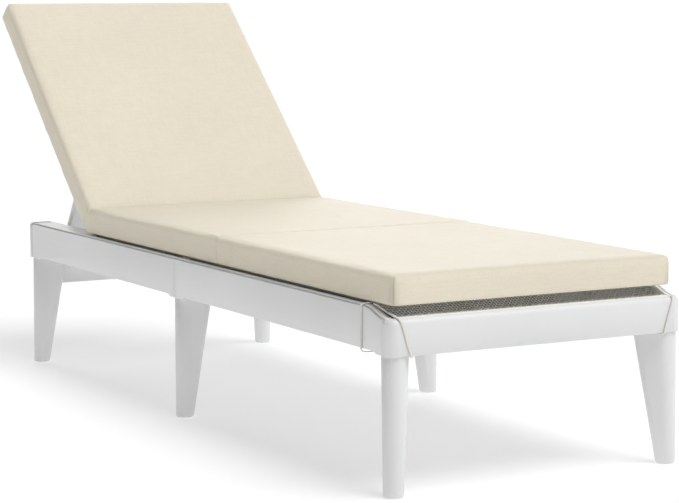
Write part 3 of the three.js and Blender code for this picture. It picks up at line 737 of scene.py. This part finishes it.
HINGE_LUG = 12 * MM              # outer radius, and the pin's bore
HINGE_BORE = 5.3 * MM
PROP_LUG = 10 * MM
PROP_BORE = 4.3 * MM
PROP_GAP = 2 * MM                # between the prop and its lugs
PROP_LUG_WIDTH = 10 * MM

# Painted light and shade at each point of a bar's outline: 1 keeps the plastic's colour, 0 paints the darkest
# shade
STRAND_PAINTED_LIGHT = [0.85, 0.85, 0, 0.4, 1, 1, 0.4, 0]
RIB_PAINTED_LIGHT = [1, 1, 0.8, 0.3, 0.2, 0.2, 0.3, 0.8]
RIM_PAINTED_LIGHT = [1] * 8


def bays(low, high, count, rim):
    """Start and end of each open bay between ribs."""
    pitch = (high - low - 2 * rim + RIB) / count
    return [(low + rim + i * pitch, low + rim + (i + 1) * pitch - RIB) for i in range(count)]


def between(spans):
    """The gaps from each span to the next."""
    return [(a[1], b[0]) for a, b in zip(spans, spans[1:])]


def bar_outline(width, depth):
    """A bar's section, with softened upper edges: across, and up from the bar's top."""
    half = width / 2
    soft = min(width * 0.3, SOFT_EDGE)
    return [(-half, -depth), (half, -depth), (half, -depth * 0.75), (half, -soft * 1.2), (half - soft, 0),
            (soft - half, 0), (-half, -soft * 1.2), (-half, -depth * 0.75)]


class Panel(Builder):
    """A moulded bed panel, half to each side and from low to high along the bed. surface gives the height of
    its top at a distance along it, and place puts a point (across, along, up) where the panel lies."""

    def __init__(self, half, low, high, thick, rim, edge, surface, place):
        super().__init__()
        self.half = half
        self.low = low
        self.high = high
        self.thick = thick
        self.rim = rim
        self.edge = edge
        self.surface = surface
        self.place = place
        bend = [FOOT_Y + b for b in FOOT_BEND if low < FOOT_Y + b < high]
        self.stations = [low + INSET] + bend + [high - INSET]

    def bar_along(self, x, stations, tops, width, depth, crown):
        """A bar that runs up the bed."""
        outline = bar_outline(width, depth)[::-1]
        rings = []
        for y, top in zip(stations, tops):
            rings.append([self.place(x + dx, y, top + dz) for dx, dz in outline])
            self.crown.extend(crown[::-1])
        self.loft(rings)

    def bar_across(self, y, stations, tops, width, depth, crown):
        outline = bar_outline(width, depth)
        rings = []
        for x, top in zip(stations, tops):
            rings.append([self.place(x, y + dy, top + dz) for dy, dz in outline])
            self.crown.extend(crown)
        self.loft(rings)

    def add_ribs(self, rows_of_bays):
        """Rims and ribs. The side rims lie as low as the ribs where the strands run out over them."""
        half, low, high, rim = self.half, self.low, self.high, self.rim
        full_sides = self.edge > rim / 3
        columns = bays(-half, half, COLUMNS, rim)
        walls = [(-half, -half + rim)] + between(columns) + [(half - rim, half)]
        for i, (a, b) in enumerate(walls):
            full = full_sides and i in (0, COLUMNS)
            down = INSET if full else SUNK
            tops = [self.surface(y) - down for y in self.stations]
            crown = RIM_PAINTED_LIGHT if full else RIB_PAINTED_LIGHT
            self.bar_along((a + b) / 2, self.stations, tops, b - a, self.thick - down, crown)
        for a, b in between(bays(low, high, rows_of_bays, rim)):
            y = (a + b) / 2
            tops = [self.surface(y) - SUNK - 0.1 * MM] * 2
            for c, d in columns:
                ends = [c - 1 * MM, d + 1 * MM]
                self.bar_across(y, ends, tops, b - a, self.thick - SUNK - INSET, RIB_PAINTED_LIGHT)
        for y in (low + rim / 2, high - rim / 2):
            ends = [INSET - half, half - INSET]
            self.bar_across(y, ends, [self.surface(y)] * 2, rim, self.thick - INSET, RIM_PAINTED_LIGHT)

    def add_strands(self, woven_until):
        """The open lattice, whose strands pass over and under each other up to the given distance."""
        low, high, rim, surface = self.low, self.high, self.rim, self.surface
        side = self.half - self.edge
        count = int((self.half - max(self.edge * 2, STRAND)) * 2 / PITCH)
        lines = (np.arange(count) - (count - 1) / 2) * PITCH
        steps = int((high - low - 2 * rim) / PITCH)
        crossings = low + rim + (np.arange(steps) + 0.5) * (high - low - 2 * rim) / steps
        for i, x in enumerate(lines):
            ys = [low + rim / 2]
            tops = [surface(low + rim / 2) - INSET]
            for j, y in enumerate(crossings):
                if y < woven_until:
                    ys.append(y)
                    tops.append(surface(y) - LOWER + (WAVE if (i + j) % 2 else -WAVE))
            ys += [y for y in self.stations[1:-1] if y > ys[-1] + 1 * MM] + [high - rim / 2]
            tops += [surface(y) - INSET for y in ys[len(tops):]]
            self.bar_along(x, ys, tops, STRAND, DEPTH, STRAND_PAINTED_LIGHT)
        for j, y in enumerate(crossings):
            level = surface(y) - LOWER
            xs = [-side, side]
            tops = [level - LOWER] * 2
            if y < woven_until:
                xs = [-side, *lines, side]
                tops = [level, *(level - (WAVE if (i + j) % 2 else -WAVE) for i in range(count)), level]
            self.bar_across(y, xs, tops, STRAND, DEPTH - LOWER, STRAND_PAINTED_LIGHT)

    def finish(self, name, node, body):
        item = new_object(name, self.points, self.faces, LATTICE)
        # Painted light and shade of every point, read by the lattice's colour
        set_value(item, "crown", self.crown)
        item.data.shade_flat()
        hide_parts(node)
        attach(item, body)


def bed_surface():
    """Height of the bed's top at each distance from the foot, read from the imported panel's outer edge."""
    points = node_points("seat_panel_foot")
    edge = points[points[:, 0] > points[:, 0].max() - 0.1 * MM]
    heights = {}
    for _, y, z in edge:
        key = round(float(y), 5)
        heights[key] = max(heights.get(key, 0), float(z))
    ys = sorted(heights)
    zs = [heights[y] for y in ys]

    def surface(y):
        return float(np.interp(y, ys, zs))

    return surface


def make_bed_panels():
    def on_bed(x, y, z):
        return (x, y, z)

    surface = bed_surface()
    middle_low, middle_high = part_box("seat_panel_middle")
    thick = middle_high.z - middle_low.z
    for word, rows_of_bays, woven_length in (("foot", 4, WOVEN_LENGTH), ("middle", 3, 0)):
        node = f"seat_panel_{word}"
        low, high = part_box(node)
        panel = Panel(high.x, low.y, high.y, thick, BED_RIM, BED_EDGE, surface, on_bed)
        panel.add_ribs(rows_of_bays)
        panel.add_strands(low.y + woven_length)
        panel.finish(f"woven_panel_{word}", node, "frame")


def lug(build, ends, s, h, radius, bore):
    """The eye for a pin under the backrest panel: round below, and square where it runs up into the panel."""
    near, far = sorted(ends)
    top = BACK_UNDERSIDE + LUG_ROOT - h
    rings = []
    for turn in np.arange(LUG_STEPS) * math.tau / LUG_STEPS:
        u, v = math.cos(turn), math.sin(turn)
        reach = radius if v <= 0 else min(radius / max(abs(u), 1e-6), top / v)
        rings.append([tuple(from_backrest(x, s + u * r, h + v * r))
                      for x, r in ((near, reach), (near, bore), (far, bore), (far, reach))])
    build.loft(rings, ends="joined")
    build.crown.extend([1] * 4 * LUG_STEPS)


def make_back_panel():
    along, out = on_backrest(node_points("backrest_panel"))
    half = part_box("backrest_panel")[1].x
    top = float(out.max())

    def surface(s):
        return top

    def on_back(x, s, h):
        return tuple(from_backrest(x, s, h))

    thick = top - BACK_UNDERSIDE
    panel = Panel(half, BACK_START, float(along.max()), thick, BACK_RIM, BACK_EDGE, surface, on_back)
    panel.add_ribs(5)
    panel.add_strands(BACK_START)
    prop_fold = next(j for j in frame["joints"] if j["name"] == "prop_fold")
    prop_s, prop_h = (float(value) for value in on_backrest(prop_fold["pos_m"]))
    prop_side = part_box("prop_panel")[1].x + PROP_GAP
    for side in (-1, 1):
        hinge_ends = (side * (half - BACK_RIM), side * (half - INSET))
        lug(panel, hinge_ends, 0, 0, HINGE_LUG, HINGE_BORE)
        prop_ends = (side * prop_side, side * (prop_side + PROP_LUG_WIDTH))
        lug(panel, prop_ends, prop_s, prop_h, PROP_LUG, PROP_BORE)
    panel.finish("woven_panel_back", "backrest_panel", "backrest")


make_bed_panels()
make_back_panel()


# ---- Elastic ties ----
TIE_WIDTH = 4.6 * MM
TIE_THICK = 1.3 * MM
# A flat elastic's section, across and through, as parts of its width and thickness
TIE_OUTLINE = [(-0.5, 0.22), (-0.5, -0.22), (-0.43, -0.5), (-0.2, -0.46), (0, -0.5), (0.2, -0.46),
               (0.43, -0.5), (0.5, -0.22), (0.5, 0.22), (0.43, 0.5), (0.2, 0.46), (0, 0.5), (-0.2, 0.46),
               (-0.43, 0.5)]
STEPS_TO_WAYPOINT = 5


def smooth_line(points):
    """A smooth line through the points (Catmull-Rom)."""
    p = np.vstack([2 * points[0] - points[1], points, 2 * points[-1] - points[-2]])
    line = []
    for i in range(1, len(p) - 2):
        a, b, c, d = p[i - 1:i + 3]
        for t in np.arange(STEPS_TO_WAYPOINT) / STEPS_TO_WAYPOINT:
            bend = 2 * a - 5 * b + 4 * c - d
            twist = 3 * b - a - 3 * c + d
            line.append(0.5 * (2 * b + (c - a) * t + bend * t ** 2 + twist * t ** 3))
    return np.array(line + [points[-1]])


def strap(name, route, facing, node, body):
    """Makes a flat woven elastic along the route, and gives its length. facing gives the way the outer side
    looks at each waypoint."""
    line = smooth_line(np.array(route))
    looks = smooth_line(np.array(facing, float))
    ahead = np.gradient(line, axis=0)
    ahead /= np.linalg.norm(ahead, axis=1)[:, None]
    looks -= (looks * ahead).sum(1)[:, None] * ahead
    looks /= np.linalg.norm(looks, axis=1)[:, None]
    across = np.cross(ahead, looks)
    run = np.concatenate([[0], np.cumsum(np.linalg.norm(np.diff(line, axis=0), axis=1))])
    build = Builder()
    cloth = []
    rings = []
    for at, side, out, length in zip(line, across, looks, run):
        rings.append([at + side * u * TIE_WIDTH + out * v * TIE_THICK for u, v in TIE_OUTLINE])
        cloth.extend((u * TIE_WIDTH, length, v * TIE_THICK) for u, v in TIE_OUTLINE)
    build.loft(rings)
    item = new_object(name, build.points, build.faces, ELASTIC)
    set_cloth(item, cloth)
    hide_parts(node)
    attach(item, body)
    return float(run[-1])


# Waypoints in millimetres: outward from the middle, back from the foot face, and up; then the way the outer
# side looks
FOOT_TIE = [
    (272, 87.6, 307.2, 0, 0, 1), (280, 87.6, 307.2, 0, 0, 1), (286.6, 87.6, 307, 0.2, 0, 1),
    (291.2, 87.6, 304.2, 1, 0, 0.6), (291.9, 87.6, 298, 1, 0, 0), (291.7, 87.6, 270, 1, 0, 0),
    (291.7, 87.6, 242, 1, 0, 0), (291.2, 87.4, 232, 1, 0, -0.4), (288, 86.6, 228.2, 0.4, 0, -1),
    (282, 85, 227.9, 0, 0, -1), (256, 80.5, 227.8, 0, 0, -1), (234, 72, 227.8, 0, 0, -1),
    (222, 60, 227.8, 0, 0, -1), (222, 46, 227.8, 0, 0, -1), (231, 30, 227.8, 0, 0, -1),
    (243, 12, 227.6, 0, -0.1, -1), (247.6, 2.4, 227, 0, -0.6, -1), (250, -1.8, 229, 0, -1, -0.5),
    (251.8, -2.1, 234, 0, -1, 0), (255.6, -1.7, 246, 0, -1, 0), (262, -1.7, 268, 0, -1, 0),
    (266, -1.6, 280, 0, -1, 0.1), (268.6, 0.3, 287.6, 0, -1, 0.6), (270.2, 4.8, 291.7, 0, -0.5, 1),
    (271.4, 14, 293.5, 0, -0.2, 1), (274, 32, 297.6, 0, -0.2, 1), (276.4, 52, 304.2, 0, -0.1, 1),
    (277.5, 62, 306.9, 0, 0, 1), (276, 72, 307.3, 0, 0, 1)]
# Outward, up the backrest from the hinge line, and square to it; then the same for the way it looks
HEAD_TIE = [
    (258, 500, 27.6, 0, 0, 1), (248, 500, 26.6, 0, 0, 1), (240, 500, 24, 0.7, 0, 0.7),
    (237.2, 500, 18, 1, 0, 0), (237, 500, 8, 1, 0, 0), (236.6, 500.5, 3.8, 1, 0, -0.7),
    (234.2, 502, 2.3, 0.2, 0, -1), (228, 508, 2.1, 0, 0, -1), (202, 551, 2.1, 0, 0, -1),
    (186, 588, 2.1, 0, 0, -1), (183, 595, 2.5, 0, 0.4, -1), (180.8, 597.7, 4, 0, 1, -0.6),
    (180.2, 597.9, 9, 0, 1, 0), (180, 598, 18, 0, 1, 0), (180, 600, 24.4, 0, 0.8, 0.6),
    (180, 606, 27, 0, 0.1, 1), (180, 616, 27.6, 0, 0, 1)]


def make_ties():
    lengths = {}
    for side, word in ((-1, "left"), (1, "right")):
        route = [(side * x * MM, FOOT_Y + y * MM, z * MM) for x, y, z, *_ in FOOT_TIE]
        facing = [(side * u, v, w) for *_, u, v, w in FOOT_TIE]
        lengths["foot"] = strap(f"elastic_foot_{word}", route, facing, f"foot_tie_{word}", "frame")
        route = [from_backrest(side * x * MM, s * MM, h * MM) for x, s, h, *_ in HEAD_TIE]
        facing = [side * u * np.array([1.0, 0, 0]) + v * ALONG + w * OUT for *_, u, v, w in HEAD_TIE]
        lengths["head"] = strap(f"elastic_head_{word}", route, facing, f"head_tie_{word}", "backrest")
    print("TIE LENGTHS", {k: round(v, 4) for k, v in lengths.items()})


make_ties()


# ---- Floor ----
FLOOR_RADIUS = 400               # metres
FLOOR_LEVEL = -0.5 * MM
FLOOR_STEPS = 64


def make_floor():
    """A wide round floor whose far edge sweeps up into a backdrop."""
    build = Builder()
    turns = np.linspace(0, math.tau, FLOOR_STEPS + 1)[:-1]
    ring = [(math.cos(turn) * FLOOR_RADIUS, math.sin(turn) * FLOOR_RADIUS) for turn in turns]
    sweep = [(1.0, 60), (0.99, 12), (0.97, 3)] + [(part, FLOOR_LEVEL) for part in (0.94, 0.1, 0.02, 0.005)]
    build.loft([[(x * part, y * part, z) for x, y in ring] for part, z in sweep], ends="open")
    inner = (len(sweep) - 1) * FLOOR_STEPS
    build.faces.append(tuple(range(inner, inner + FLOOR_STEPS)))
    new_object("floor", build.points, build.faces, paper("studio_floor"))


make_floor()
